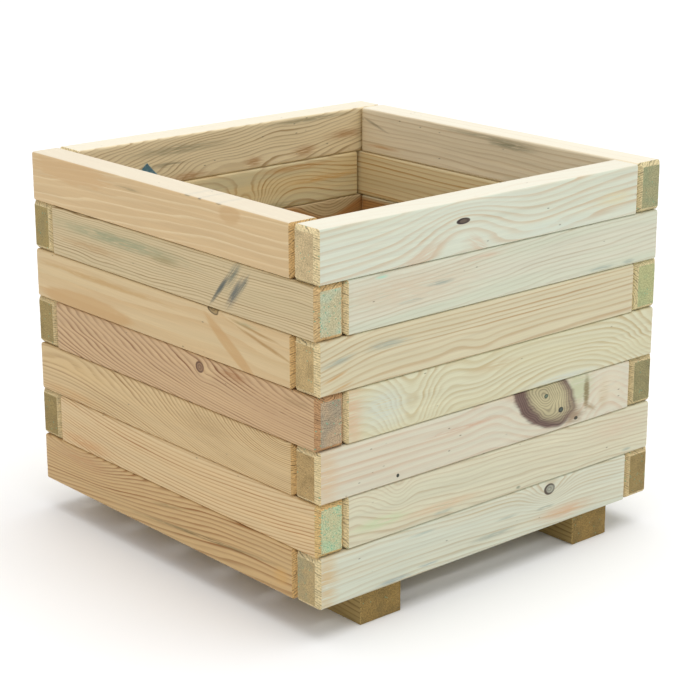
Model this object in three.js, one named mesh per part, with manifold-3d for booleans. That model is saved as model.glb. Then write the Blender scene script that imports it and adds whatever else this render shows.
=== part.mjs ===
// Square planter box of planed pine boards.
//
// Seven courses of four boards are stacked on two runners. In each course every board covers
// one corner and butts against the next board at the other, like the sails of a windmill, and
// the windmill turns the other way in every second course, so the corners interlock. Long
// screws driven from below tie each corner together. Loose slats on the runners are the floor.
//
// Millimetres, +Z up. The origin is on the ground under the middle of the box. The front is
// the -Y side. Courses are counted from the rim (1) down to the runners (7).

import * as THREE from 'three';
import { mergeVertices } from 'three/addons/utils/BufferGeometryUtils.js';
import Module from 'manifold-3d';

// ---- driving dimensions ----
const OUTER_SIDE = 624;
const COURSES = 7;
const BOARD_THICKNESS = 45;
const COURSE_HEIGHT = 70;
const BOARD_EDGE_RADIUS = 3.5;
const END_CHAMFER = 5.5;

const RUNNER_WIDTH = 70;
const RUNNER_HEIGHT = 45;
const RUNNER_INSET = 78;             // from the outer face of the side wall
const RUNNER_RECESS = 8;             // from the outer faces of the front and back walls
const LEFT_RUNNER_EDGE_RADIUS = 1;
const RIGHT_RUNNER_EDGE_RADIUS = 3.5;

const SLATS = 5;
const SLAT_WIDTH = 95;
const SLAT_THICKNESS = 18;
const SLAT_END_CLEARANCE = 2;
const SLAT_EDGE_RADIUS = 2;

const CORNER_SCREW = { length: 190, shankRadius: 3, headRadius: 6, headHeight: 5, driveRadius: 3 };
const RUNNER_SCREW = { length: 82, shankRadius: 2.5, headRadius: 5, headHeight: 4, driveRadius: 2.4 };
const SCREW_HEAD_DEPTH = 2;          // how far a head sits below the wood's underside
const RUNNER_SCREW_HEAD_DEPTH = 8;
const SCREW_TIP_LENGTH = 8;
const DRIVE_DEPTH = 2.5;
const NEAR_SCREW_INSET = 15;         // from both outer faces of the corner
const FAR_SCREW_INSET = 30;

const TAG_SIDE = 30;
const TAG_THICKNESS = 1.2;
const TAG_CENTRE_X = -146;
const TAG_TOP_BELOW_RIM = 33;
const TAG_TILT = 43 * Math.PI / 180;
const STAPLE_WIDTH = 10;
const STAPLE_WIRE = 1;

const GAP = 0.3;                     // clearance between pieces that touch
const ARC_STEPS = 2;                 // an edge rounding has twice this many facets
const SCREW_SIDES = 12;

// ---- derived dimensions ----
const HALF_SIDE = OUTER_SIDE / 2;
const INNER_HALF_SIDE = HALF_SIDE - BOARD_THICKNESS;
const RIM_HEIGHT = RUNNER_HEIGHT + COURSES * COURSE_HEIGHT;
const RUNNER_CENTRE_X = HALF_SIDE - RUNNER_INSET - RUNNER_WIDTH / 2;
const WALL_CENTRE_Y = -HALF_SIDE + BOARD_THICKNESS / 2;
const SIDES = ['front', 'right', 'back', 'left'];
const CORNERS = ['front_left', 'front_right', 'back_right', 'back_left'];

// Each screw of a corner starts in one course and ends two courses further up. Neighbours
// stand at different insets, because one starts in the course where the other ends.
const CORNER_SCREWS = [
  { name: 'lower', headCourse: 7, inset: NEAR_SCREW_INSET },
  { name: 'middle', headCourse: 5, inset: FAR_SCREW_INSET },
  { name: 'upper', headCourse: 3, inset: NEAR_SCREW_INSET },
];
const COURSES_PER_SCREW = 3;

// ---- materials ----
function material(color, roughness, metalness) {
  return new THREE.MeshStandardMaterial({ color, roughness, metalness });
}

const PALE_PINE = material(0xd9cfae, 0.72, 0);
const WARM_PINE = material(0xcfb187, 0.72, 0);
const RUNNER_PINE = material(0x9a8255, 0.8, 0);
const SLAT_PINE = material(0xb9a67c, 0.8, 0);
const ZINC_STEEL = material(0xb9bcc0, 0.35, 1);
const BLUE_PLASTIC = material(0x5f8794, 0.5, 0);

// ---- solids and cuts ----
const wasm = await Module();
wasm.setup();

function toSolid(geometry) {
  const bare = geometry.clone();
  bare.deleteAttribute('normal');
  bare.deleteAttribute('uv');
  const merged = mergeVertices(bare, 1e-4);
  const mesh = new wasm.Mesh({
    numProp: 3,
    vertProperties: new Float32Array(merged.attributes.position.array),
    triVerts: new Uint32Array(merged.index.array),
  });
  return new wasm.Manifold(mesh);
}

function toGeometry(solid) {
  const mesh = solid.getMesh();
  const geometry = new THREE.BufferGeometry();
  geometry.setAttribute('position', new THREE.BufferAttribute(mesh.vertProperties, 3));
  geometry.setIndex(new THREE.BufferAttribute(mesh.triVerts, 1));
  geometry.computeVertexNormals();
  return geometry;
}

// ---- outlines ----
function roundedRectangle(width, height, radius) {
  const right = width / 2;
  const top = height / 2;
  const shape = new THREE.Shape();
  shape.moveTo(-right + radius, -top);
  shape.lineTo(right - radius, -top);
  shape.absarc(right - radius, -top + radius, radius, -Math.PI / 2, 0);
  shape.lineTo(right, top - radius);
  shape.absarc(right - radius, top - radius, radius, 0, Math.PI / 2);
  shape.lineTo(-right + radius, top);
  shape.absarc(-right + radius, top - radius, radius, Math.PI / 2, Math.PI);
  shape.lineTo(-right, -top + radius);
  shape.absarc(-right + radius, -top + radius, radius, Math.PI, 1.5 * Math.PI);
  return shape;
}

function chamferedRectangle(width, height, chamfer) {
  const right = width / 2;
  const top = height / 2;
  return new THREE.Shape([
    new THREE.Vector2(-right + chamfer, -top),
    new THREE.Vector2(right - chamfer, -top),
    new THREE.Vector2(right, -top + chamfer),
    new THREE.Vector2(right, top - chamfer),
    new THREE.Vector2(right - chamfer, top),
    new THREE.Vector2(-right + chamfer, top),
    new THREE.Vector2(-right, top - chamfer),
    new THREE.Vector2(-right, -top + chamfer),
  ]);
}

function extrudeCentred(shape, depth) {
  const options = { depth, bevelEnabled: false, curveSegments: ARC_STEPS };
  return new THREE.ExtrudeGeometry(shape, options).translate(0, 0, -depth / 2);
}

// A timber with rounded long edges, its length along X, centred on the origin.
function roundedTimber(length, thickness, height, radius) {
  const section = roundedRectangle(thickness, height, radius);
  return extrudeCentred(section, length).rotateX(Math.PI / 2).rotateZ(Math.PI / 2);
}

// ---- wall boards ----
// A board with rounded long edges, and a flat chamfer on all four edges of each end.
function boardSolid(length) {
  const height = COURSE_HEIGHT - GAP;
  const timber = toSolid(roundedTimber(length, BOARD_THICKNESS, height, BOARD_EDGE_RADIUS));
  const plan = chamferedRectangle(length, BOARD_THICKNESS, END_CHAMFER);
  const elevation = chamferedRectangle(length, height, END_CHAMFER);
  const fromAbove = toSolid(extrudeCentred(plan, height));
  const fromFront = toSolid(extrudeCentred(elevation, BOARD_THICKNESS).rotateX(Math.PI / 2));
  return timber.intersect(fromAbove).intersect(fromFront);
}

function courseBottom(course) {
  return RUNNER_HEIGHT + (COURSES - course) * COURSE_HEIGHT;
}

// In odd courses the front board covers the front left corner, in even ones the front right.
function coversLeftCorner(course) {
  return course % 2 === 1;
}

function frontBoardGeometry(course, hasRunnerScrews) {
  const length = OUTER_SIDE - BOARD_THICKNESS - GAP;
  const shift = (BOARD_THICKNESS + GAP) / 2;
  const centreX = coversLeftCorner(course) ? -shift : shift;
  const centreZ = courseBottom(course) + GAP + (COURSE_HEIGHT - GAP) / 2;
  let board = boardSolid(length).translate(centreX, WALL_CENTRE_Y, centreZ);
  for (const screw of CORNER_SCREWS) {
    const lastCourse = screw.headCourse - COURSES_PER_SCREW + 1;
    if (course <= screw.headCourse && course >= lastCourse) {
      const fromMiddle = HALF_SIDE - screw.inset;
      const x = coversLeftCorner(course) ? -fromMiddle : fromMiddle;
      const hole = screwHole(CORNER_SCREW, SCREW_HEAD_DEPTH);
      board = board.subtract(hole.translate(x, -fromMiddle, courseBottom(screw.headCourse)));
    }
  }
  if (hasRunnerScrews) {
    for (const x of [-RUNNER_CENTRE_X, RUNNER_CENTRE_X]) {
      const hole = screwHole(RUNNER_SCREW, RUNNER_SCREW_HEAD_DEPTH);
      board = board.subtract(hole.translate(x, WALL_CENTRE_Y, 0));
    }
  }
  return toGeometry(board);
}

// ---- runners and floor slats ----
function runnerGeometry(centreX, edgeRadius) {
  const length = OUTER_SIDE - 2 * RUNNER_RECESS;
  const timber = roundedTimber(length, RUNNER_WIDTH, RUNNER_HEIGHT, edgeRadius);
  let runner = toSolid(timber.rotateZ(Math.PI / 2).translate(centreX, 0, RUNNER_HEIGHT / 2));
  for (const y of [-WALL_CENTRE_Y, WALL_CENTRE_Y]) {
    const hole = screwHole(RUNNER_SCREW, RUNNER_SCREW_HEAD_DEPTH);
    runner = runner.subtract(hole.translate(centreX, y, 0));
  }
  return toGeometry(runner);
}

function slatCentreY(index) {
  const gap = (2 * INNER_HALF_SIDE - SLATS * SLAT_WIDTH) / (SLATS + 1);
  return -INNER_HALF_SIDE + gap + SLAT_WIDTH / 2 + index * (SLAT_WIDTH + gap);
}

function slatGeometry() {
  const length = 2 * (INNER_HALF_SIDE - SLAT_END_CLEARANCE);
  return roundedTimber(length, SLAT_WIDTH, SLAT_THICKNESS, SLAT_EDGE_RADIUS);
}

// ---- screws ----
// A screw pointing up, the outer face of its head at z = 0.
function screwGeometry({ length, shankRadius, headRadius, headHeight, driveRadius }) {
  const profile = [
    new THREE.Vector2(0, 0),
    new THREE.Vector2(headRadius, 0),
    new THREE.Vector2(headRadius, headHeight),
    new THREE.Vector2(shankRadius, headHeight),
    new THREE.Vector2(shankRadius, length - SCREW_TIP_LENGTH),
    new THREE.Vector2(0, length),
  ];
  const body = new THREE.LatheGeometry(profile, SCREW_SIDES).rotateX(Math.PI / 2);
  const drive = new THREE.CylinderGeometry(driveRadius, driveRadius, 2 * DRIVE_DEPTH, 6);
  return toGeometry(toSolid(body).subtract(toSolid(drive.rotateX(Math.PI / 2))));
}

// The space that a screw fills in the wood, its counterbore opening downwards at z = 0.
function screwHole({ length, shankRadius, headRadius, headHeight }, headDepth) {
  const boreRadius = headRadius + GAP;
  const shoulder = headDepth + headHeight + GAP;
  const counterbore = new THREE.CylinderGeometry(boreRadius, boreRadius, 2 * shoulder, SCREW_SIDES);
  const holeRadius = shankRadius + GAP;
  const holeLength = headDepth + length + GAP;
  const hole = new THREE.CylinderGeometry(holeRadius, holeRadius, holeLength, SCREW_SIDES);
  hole.rotateX(Math.PI / 2).translate(0, 0, holeLength / 2);
  return toSolid(counterbore.rotateX(Math.PI / 2)).add(toSolid(hole));
}

// ---- tag and staple on the inner face of the back wall ----
function tagCentreZ() {
  const halfHeight = TAG_SIDE / 2 * (Math.sin(TAG_TILT) + Math.cos(TAG_TILT));
  return RIM_HEIGHT - TAG_TOP_BELOW_RIM - halfHeight;
}

function tagGeometry() {
  const outline = roundedRectangle(TAG_SIDE, TAG_SIDE, 0.5);
  return extrudeCentred(outline, TAG_THICKNESS).rotateZ(TAG_TILT).rotateX(Math.PI / 2);
}

function stapleGeometry() {
  const bar = roundedRectangle(STAPLE_WIDTH, STAPLE_WIRE, STAPLE_WIRE / 4);
  return extrudeCentred(bar, STAPLE_WIRE).rotateX(Math.PI / 2);
}

// ---- the planter box ----
const planter = new THREE.Group();

function addMesh(name, geometry, surface, x = 0, y = 0, z = 0, turn = 0) {
  const mesh = new THREE.Mesh(geometry, surface);
  mesh.name = name;
  mesh.position.set(x, y, z);
  mesh.rotation.z = turn;
  planter.add(mesh);
}

for (let course = 1; course <= COURSES; course += 1) {
  SIDES.forEach((side, quarter) => {
    const takesRunnerScrews = course === COURSES && quarter % 2 === 0;
    const surface = side === 'left' ? WARM_PINE : PALE_PINE;
    const geometry = frontBoardGeometry(course, takesRunnerScrews);
    addMesh(`${side}_board_${course}`, geometry, surface, 0, 0, 0, quarter * Math.PI / 2);
  });
}

addMesh('left_runner', runnerGeometry(-RUNNER_CENTRE_X, LEFT_RUNNER_EDGE_RADIUS), RUNNER_PINE);
addMesh('right_runner', runnerGeometry(RUNNER_CENTRE_X, RIGHT_RUNNER_EDGE_RADIUS), RUNNER_PINE);

for (let index = 0; index < SLATS; index += 1) {
  const slatZ = RUNNER_HEIGHT + GAP + SLAT_THICKNESS / 2;
  addMesh(`floor_slat_${index + 1}`, slatGeometry(), SLAT_PINE, 0, slatCentreY(index), slatZ);
}

CORNERS.forEach((corner, quarter) => {
  for (const screw of CORNER_SCREWS) {
    const offset = new THREE.Vector3(screw.inset - HALF_SIDE, screw.inset - HALF_SIDE, 0);
    offset.applyAxisAngle(new THREE.Vector3(0, 0, 1), quarter * Math.PI / 2);
    const z = courseBottom(screw.headCourse) + SCREW_HEAD_DEPTH;
    const name = `corner_screw_${corner}_${screw.name}`;
    const turn = quarter * Math.PI / 2;
    addMesh(name, screwGeometry(CORNER_SCREW), ZINC_STEEL, offset.x, offset.y, z, turn);
  }
});

for (const [side, x] of [['left', -RUNNER_CENTRE_X], ['right', RUNNER_CENTRE_X]]) {
  for (const [end, y] of [['front', WALL_CENTRE_Y], ['back', -WALL_CENTRE_Y]]) {
    const name = `runner_screw_${side}_${end}`;
    addMesh(name, screwGeometry(RUNNER_SCREW), ZINC_STEEL, x, y, RUNNER_SCREW_HEAD_DEPTH);
  }
}

const TAG_CENTRE_Y = INNER_HALF_SIDE - GAP - TAG_THICKNESS / 2;
const STAPLE_Y = TAG_CENTRE_Y - TAG_THICKNESS / 2 - GAP - STAPLE_WIRE / 2;
addMesh('blue_tag', tagGeometry(), BLUE_PLASTIC, TAG_CENTRE_X, TAG_CENTRE_Y, tagCentreZ());
addMesh('tag_staple', stapleGeometry(), ZINC_STEEL, TAG_CENTRE_X, STAPLE_Y, tagCentreZ());

export default planter;
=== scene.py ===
# The looks of a square planter box, stacked from planed and pressure-treated pine boards.
import math
import random
from dataclasses import dataclass

import bmesh
import bpy
from mathutils import Matrix, Vector, noise


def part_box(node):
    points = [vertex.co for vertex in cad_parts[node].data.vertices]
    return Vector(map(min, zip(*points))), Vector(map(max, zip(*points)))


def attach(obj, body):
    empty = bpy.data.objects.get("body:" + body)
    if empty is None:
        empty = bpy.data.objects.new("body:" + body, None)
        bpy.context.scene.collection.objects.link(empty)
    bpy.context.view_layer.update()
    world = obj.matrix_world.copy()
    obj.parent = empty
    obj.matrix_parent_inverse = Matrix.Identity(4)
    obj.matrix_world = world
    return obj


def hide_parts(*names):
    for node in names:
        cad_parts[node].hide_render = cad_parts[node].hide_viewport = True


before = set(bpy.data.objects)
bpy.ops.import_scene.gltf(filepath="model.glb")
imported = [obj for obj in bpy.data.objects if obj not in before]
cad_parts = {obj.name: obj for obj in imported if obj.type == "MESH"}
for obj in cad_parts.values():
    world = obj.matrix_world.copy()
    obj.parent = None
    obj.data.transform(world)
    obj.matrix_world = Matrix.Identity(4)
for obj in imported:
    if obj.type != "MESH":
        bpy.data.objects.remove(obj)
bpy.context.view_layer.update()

MM = 0.001

# ---- timber shape, millimetres ----
END_CHAMFER = 5.5
RUNNER_CHAMFER = 1.0
SLAT_CHAMFER = 0.8
BOARD_RADIUS = 3.5
SLAT_RADIUS = 2.0
LEFT_RUNNER_RADIUS = 1.2
SHARP_RADIUS = 0.8  # of a timber's end face
ARC_STEPS = 5
STATION_STEP = 9.0  # mesh spacing along a timber, and across it
FACE_STEP = 5.0
FULL_BOARD = 579.0
# (depth along the timber, inset of its outline) down an end chamfer, as shares of its size.
CHAMFER_PROFILE = ((0.0, 1.07), (0.05, 0.95), (0.35, 0.65), (0.65, 0.35), (0.95, 0.05))
CHAMFER_REACH = 1.07
END_RINGS = (0.86, 0.66, 0.44, 0.22)  # loops of an end face's mesh, from edge to middle
CHAMFER_CUT = 0.5  # a mesh face's "cut" is 0 on planed wood
END_CUT = 1.0
TORN_DEPTH = 0.35
CHIP_DEPTH = 1.6
CHIP_LEVEL = 0.35  # the noise above which a cut edge is chipped
END_TORN = 0.6  # how torn an end face is, where a chamfer is 1
BOW_DEPTH = 0.5
TIMBER_CREASE = math.radians(24)

# ---- screws, tag and staple, millimetres ----
CORNERS = ("front_left", "front_right", "back_right", "back_left")
BORE_GAP = 0.4
HEAD_HEIGHT = 4.5
DRIVE_DEPTH = 2.4
THREAD_PITCH = 3.2
TIP_LENGTH = 8.0
CORNER_SHANK = 3.0
RUNNER_SHANK = 2.5
SCREW_SIDES = 24
SCREW_CREASE = math.radians(40)
BORE_SIDES = 32
TAG_TILT = math.radians(43)
TAG_THICKNESS = 0.9
TAG_CURL = 1.2
TAG_RIM = 0.4
TAG_RIM_START = 0.86  # as a share of the way from its middle to its edge
TAG_EDGE = 0.25
TAG_CELLS = 20
STAPLE_BEND = 1.2
STAPLE_LEG = 8.0
STAPLE_BEND_STEPS = 5

# ---- pine ----
FINE_RING = 2.6  # the growth rings as end grain shows them
KNOT_RING = 3.6
RIM_START, RIM_END = 33.5, 34.6  # heights on a board, where its top face begins
TOP_HIGHLIGHT_COLOUR = (230, 224, 206)  # painted highlight: the top face made paler, as light from above shows it
SPECK = (84, 76, 56)
COPPER_GREEN = (96, 168, 138)

# ---- camera and light ----
CAMERA_PLACE = Vector((-1.730, -1.997, 1.074))
CAMERA_TURN = math.radians(48.88)  # its heading, from +X towards +Y
CAMERA_DIP = math.radians(17.30)
CAMERA_LENS = 99.2
SENSOR = 36.0
OVERHEAD_ANGLE = math.radians(55)
OVERHEAD_STRENGTH = 1.55
OVERHEAD_AIM = Vector((-0.10, 0.08, -1.0))
SKY_LIGHT = 0.80
FLOOR_SIZE = 40

# Each side's direction from left to right as seen from outside, and its outward direction.
SIDES = {
    "front": (Vector((1, 0, 0)), Vector((0, -1, 0))),
    "right": (Vector((0, 1, 0)), Vector((1, 0, 0))),
    "back": (Vector((-1, 0, 0)), Vector((0, 1, 0))),
    "left": (Vector((0, -1, 0)), Vector((-1, 0, 0))),
}
UP = Vector((0, 0, 1))


# ---- shader arithmetic ----
class Wire:
    """One output of a material's nodes. Arithmetic on it adds Math nodes."""

    def __init__(self, tree, socket):
        self.tree = tree
        self.socket = socket

    def math(self, operation, *others):
        return math_node(self.tree, operation, self, *others)

    def __add__(self, other):
        return self.math("ADD", other)

    def __radd__(self, other):
        return self.math("ADD", other)

    def __sub__(self, other):
        return self.math("SUBTRACT", other)

    def __rsub__(self, other):
        return math_node(self.tree, "SUBTRACT", other, self)

    def __mul__(self, other):
        return self.math("MULTIPLY", other)

    def __truediv__(self, other):
        return self.math("DIVIDE", other)


def plug(tree, slot, value):
    """Link or set a slot. A colour loses its alpha where the slot takes three numbers."""
    if isinstance(value, Wire):
        tree.links.new(value.socket, slot)
    elif isinstance(value, list):
        slot.default_value = value[:len(slot.default_value)]
    else:
        slot.default_value = value


def math_node(tree, operation, *values):
    node = tree.nodes.new("ShaderNodeMath")
    node.operation = operation
    for slot, value in zip(node.inputs, values):
        plug(tree, slot, value)
    return Wire(tree, node.outputs[0])


def ramp(value, low, high):
    """0 below low, 1 above high, and smooth in between."""
    node = value.tree.nodes.new("ShaderNodeMapRange")
    node.interpolation_type = "SMOOTHSTEP"
    plug(value.tree, node.inputs["Value"], value)
    node.inputs["From Min"].default_value = low
    node.inputs["From Max"].default_value = high
    return Wire(value.tree, node.outputs["Result"])


def length_of(first, second):
    return (first * first + second * second).math("SQRT")


def mixed(tree, first, second, share):
    """Two colours mixed, from the first at share 0 to the second at share 1."""
    node = tree.nodes.new("ShaderNodeMix")
    node.data_type = "RGBA"
    factor, colour_a, colour_b = node.inputs[0], node.inputs[6], node.inputs[7]
    plug(tree, factor, share)
    plug(tree, colour_a, first)
    plug(tree, colour_b, second)
    return Wire(tree, node.outputs[2])


def brightened(tree, colour, factor):
    """The colour times a number that varies around 1."""
    node = tree.nodes.new("ShaderNodeVectorMath")
    node.operation = "SCALE"
    plug(tree, node.inputs[0], colour)
    plug(tree, node.inputs["Scale"], factor)
    return Wire(tree, node.outputs[0])


def split(wire):
    node = wire.tree.nodes.new("ShaderNodeSeparateXYZ")
    plug(wire.tree, node.inputs[0], wire)
    return [Wire(wire.tree, output) for output in node.outputs]


def attribute(tree, name, output):
    node = tree.nodes.new("ShaderNodeAttribute")
    node.attribute_name = name
    return Wire(tree, node.outputs[output])


def object_place(tree):
    """Where a point is on its object, in metres."""
    node = tree.nodes.new("ShaderNodeTexCoord")
    return Wire(tree, node.outputs["Object"])


def scaled(place, size, shift):
    """The place counted in steps of size along each axis, and moved by shift."""
    node = place.tree.nodes.new("ShaderNodeMapping")
    plug(place.tree, node.inputs["Vector"], place)
    node.inputs["Scale"].default_value = [1 / side for side in size]
    node.inputs["Location"].default_value = shift
    return Wire(place.tree, node.outputs[0])


def cloud(place, size, shift=0.0, detail=2.0):
    """Noise from about -0.5 to 0.5, with features about as long as size along each axis."""
    tree = place.tree
    texture = tree.nodes.new("ShaderNodeTexNoise")
    texture.inputs["Scale"].default_value = 1.0
    texture.inputs["Detail"].default_value = detail
    plug(tree, texture.inputs["Vector"], scaled(place, size, (shift, 1.7 * shift, -2.3 * shift)))
    return Wire(tree, texture.outputs["Fac"]) - 0.5


def dots(place, size, shift, share, radius=0.1):
    """1 in scattered spots about size millimetres apart, of which a share show. The radius
    is a share of that distance."""
    tree = place.tree
    texture = tree.nodes.new("ShaderNodeTexVoronoi")
    texture.inputs["Scale"].default_value = 1.0
    plug(tree, texture.inputs["Vector"], scaled(place, size, (shift, shift, shift)))
    chosen = split(Wire(tree, texture.outputs["Color"]))[0]
    near = 1.0 - ramp(Wire(tree, texture.outputs["Distance"]), 0.6 * radius, 1.3 * radius)
    return near * ramp(chosen, 1.0 - share, 1.02 - share)


def finish_material(tree, colour, roughness, height, specular=0.3):
    shader = tree.nodes.new("ShaderNodeBsdfPrincipled")
    output = tree.nodes.new("ShaderNodeOutputMaterial")
    bump = tree.nodes.new("ShaderNodeBump")
    bump.inputs["Distance"].default_value = MM
    plug(tree, bump.inputs["Height"], height)
    plug(tree, shader.inputs["Base Color"], colour)
    plug(tree, shader.inputs["Roughness"], roughness)
    shader.inputs["Specular IOR Level"].default_value = specular
    tree.links.new(bump.outputs[0], shader.inputs["Normal"])
    tree.links.new(shader.outputs[0], output.inputs["Surface"])
    return shader


def new_material(name):
    material = bpy.data.materials.new(name)
    material.use_nodes = True
    material.node_tree.nodes.clear()
    return material


def linear(colour):
    """A screen colour, 0 to 255, as the shader's linear one."""
    shares = [channel / 255 for channel in colour]
    return [s / 12.92 if s < 0.04045 else ((s + 0.055) / 1.055) ** 2.4 for s in shares] + [1.0]


# ---- pine ----
@dataclass
class Knot:
    """A branch cut through: an oval with its middle and half sizes in millimetres from the
    board's middle. The grain parts round it, and swell draws the rings round it closed."""
    along: float
    up: float
    length: float
    height: float
    lean: float = 0.0
    colour: tuple = (112, 82, 56)
    rim: tuple = (70, 48, 34)
    rim_share: float = 0.3
    reach: tuple = (2.4, 2.0)
    part: float = 0.8
    swell: float = 0.0
    wide: tuple = (40.0, 28.0)


@dataclass
class Bend:
    """A place that the grain rises to by lift, which fades within the reach."""
    along: float
    up: float
    reach: tuple
    lift: float


@dataclass
class Stain:
    """A tinted oval patch with half sizes in millimetres. It breaks up into streaks along
    the grain: soft is how wide its edge fades, ragged how uneven that edge is, and solid
    how far the streaks close up."""
    along: float
    up: float
    length: float
    height: float
    colour: tuple
    strength: float = 0.6
    lean: float = 0.0
    soft: float = 0.9
    ragged: float = 1.8
    solid: float = 0.0


@dataclass
class Look:
    """How one board's pine looks. The pith, the middle of the tree's rings, runs from
    pith_left to pith_right, each as (up, out) from the board's middle at its two ends,
    and halfway it is off the straight line by sag upwards and swing outwards."""
    early: tuple  # the pale wood of a ring
    late: tuple  # the dark line that ends it
    contrast: float = 0.5
    spacing: float = 4.0  # ring width, millimetres
    pith_left: tuple = (-60, -40)
    pith_right: tuple = (-60, -60)
    sag: float = 0.0
    swing: float = 0.0
    wander: float = 8.0
    line: tuple = (0.45, 0.85)  # where in a ring the dark sets in, and is full
    bends: tuple = ()
    knots: tuple = ()
    stains: tuple = ()
    tinge: tuple = (205, 208, 180)  # of slow changes along the board
    tinge_share: float = 0.35
    specks: float = 0.08
    top_highlight: float = 0.0  # painted highlight: how far the top face takes the paler top colour
    torn: tuple = (214, 196, 152)  # the chamfers
    end: tuple = (176, 154, 108)  # the end grain
    end_tinge: tuple = (170, 156, 112)
    end_lines: float = 0.1
    copper: float = 0.04  # the share of end grain spotted green
    heart: tuple = (190, 146, 96)  # the heartwood, within the radius on the next line of the pith; on back and right board 3 it is also painted shade on the inner face
    heart_and_shade_radius: float = 1.0


def joined(tree, *values):
    node = tree.nodes.new("ShaderNodeCombineXYZ")
    for slot, value in zip(node.inputs, values):
        plug(tree, slot, value)
    return Wire(tree, node.outputs[0])


def bell(beside, above, reach):
    """1 at the middle of a place and 0 well past its reach."""
    across = beside / reach[0]
    upward = above / reach[1]
    return ((across * across + upward * upward) * -1.0).math("EXPONENT")


def pith_distance(place, look, seed):
    """How far a point of the board is from the middle of its tree, in millimetres."""
    along, up, out = split(place)
    warped = up + cloud(place, (240, 60, 60), seed) * look.wander
    warped = warped + cloud(place, (50, 16, 16), seed + 5) * (look.wander * 0.16)
    out = out + cloud(place, (240, 60, 60), seed + 9) * look.wander
    swell = 0.0
    for bend in look.bends:
        warped = warped - bell(along - bend.along, up - bend.up, bend.reach) * bend.lift
    for knot in look.knots:
        beside = along - knot.along
        above = up - knot.up - beside * knot.lean
        close = bell(beside, above, (knot.length * knot.reach[0], knot.height * knot.reach[1]))
        warped = warped - above * close * knot.part
        swell = bell(beside, above, knot.wide) * knot.swell + swell
    share = along / FULL_BOARD
    bulge = 1.0 - share * share * 4.0
    pith_up, pith_out = [
        share * (last - first) + (first + last) / 2
        for first, last in zip(look.pith_left, look.pith_right)
    ]
    return length_of(warped - pith_up - bulge * look.sag, out - pith_out - bulge * look.swing) + swell


def ring_lines(rings, line):
    """0 in the pale early wood of each ring, rising to 1 in the dark line that ends it."""
    phase = rings.math("FRACT")
    return ramp(phase, *line) * (1.0 - ramp(phase, line[1] + 0.04, 1.0))


def ring_strength(rings, low, spread):
    """A number that changes from ring to ring."""
    node = rings.tree.nodes.new("ShaderNodeTexWhiteNoise")
    node.noise_dimensions = "1D"
    plug(rings.tree, node.inputs["W"], rings.math("FLOOR"))
    return Wire(rings.tree, node.outputs["Value"]) * spread + low


def add_stains(tree, colour, along, up, out, look, seed):
    for number, stain in enumerate(look.stains):
        beside = along - stain.along
        above = up - stain.up - beside * stain.lean
        streaks = cloud(joined(tree, along, above, out), (34, 2.2, 2.2), seed + 50 + number, 4.0)
        edge = length_of(beside / stain.length, above / stain.height) + streaks * stain.ragged
        broken = ramp(streaks, -0.2 - stain.solid, 0.07 - stain.solid)
        mask = (1.0 - ramp(edge, 1.15 - stain.soft, 1.15)) * broken
        colour = mixed(tree, colour, linear(stain.colour), mask * stain.strength)
    return colour


def add_knots(tree, colour, place, along, up, look, seed):
    """The colour with the knots on it, and how far they stand proud, in millimetres."""
    height = 0.0
    for number, knot in enumerate(look.knots):
        wobble = cloud(place, (44, 26, 26), seed + 60 + number, detail=1.0)
        fibre = cloud(place, (30, 2.0, 2.0), seed + 64 + number, detail=4.0)
        beside = along - knot.along
        above = up - knot.up - beside * knot.lean
        edge = length_of(beside / knot.length, above / knot.height) + wobble * 0.3
        inside = 1.0 - ramp(edge + fibre * 0.1, 0.9, 1.05)
        thick = 0.06 - beside / knot.length * 0.26
        rim = ramp(edge + fibre * 0.3 + thick, 1.0 - knot.rim_share * 1.3, 1.0 - knot.rim_share * 0.3)
        circles = ring_lines((edge + wobble * 0.2) * (knot.height / KNOT_RING), (0.3, 0.7))
        heart = mixed(tree, linear(knot.colour), linear(knot.rim), rim * 0.95)
        heart = brightened(tree, heart, 1.15 - circles * 0.42 + wobble * 0.4 + fibre * 0.3)
        colour = mixed(tree, colour, heart, inside)
        height = inside * 0.15 - rim * inside * 0.25 + height
    return colour, height


def planed_wood(place, radius, look, seed):
    """The colour, height and fine streaks of a planed face."""
    tree = place.tree
    along, up, out = split(place)
    rings = radius / look.spacing + cloud(place, (400, 14, 14), seed + 13, detail=1.0) * 0.9
    patchy = cloud(place, (160, 30, 30), seed + 21) * 1.1 + 0.9
    late = ring_lines(rings, look.line) * ring_strength(rings, 0.4, 0.7) * patchy
    # Heartwood colour near the pith. On back and right board 3 it covers the inner face as painted shade
    # that darkens the inside of the box.
    heart_and_shade = 1.0 - ramp(radius, look.heart_and_shade_radius * 0.94, look.heart_and_shade_radius * 1.06)
    colour = mixed(tree, linear(look.early), linear(look.heart), heart_and_shade)
    colour = mixed(tree, colour, linear(look.late), late * look.contrast)
    tinge = ramp(cloud(place, (330, 26, 26), seed + 41, detail=3.0), -0.1, 0.16)
    colour = mixed(tree, colour, linear(look.tinge), tinge * look.tinge_share)
    streak = cloud(place, (60, 1.6, 1.6), seed + 31, detail=4.0)
    broad = cloud(place, (260, 9, 9), seed + 37, detail=3.0)
    colour = brightened(tree, colour, 1.0 + streak * 0.2 + broad * 0.2)
    colour = add_stains(tree, colour, along, up, out, look, seed)
    colour, knot_height = add_knots(tree, colour, place, along, up, look, seed)
    # Painted highlight: the top face of a board made paler, as light from above shows it.
    colour = mixed(tree, colour, linear(TOP_HIGHLIGHT_COLOUR), ramp(up, RIM_START, RIM_END) * look.top_highlight)
    speck = dots(place, (22, 8, 8), seed + 71, look.specks)
    colour = mixed(tree, colour, linear(SPECK), speck * 0.6)
    return colour, late * 0.1 + streak * 0.1 + knot_height, streak


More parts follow.
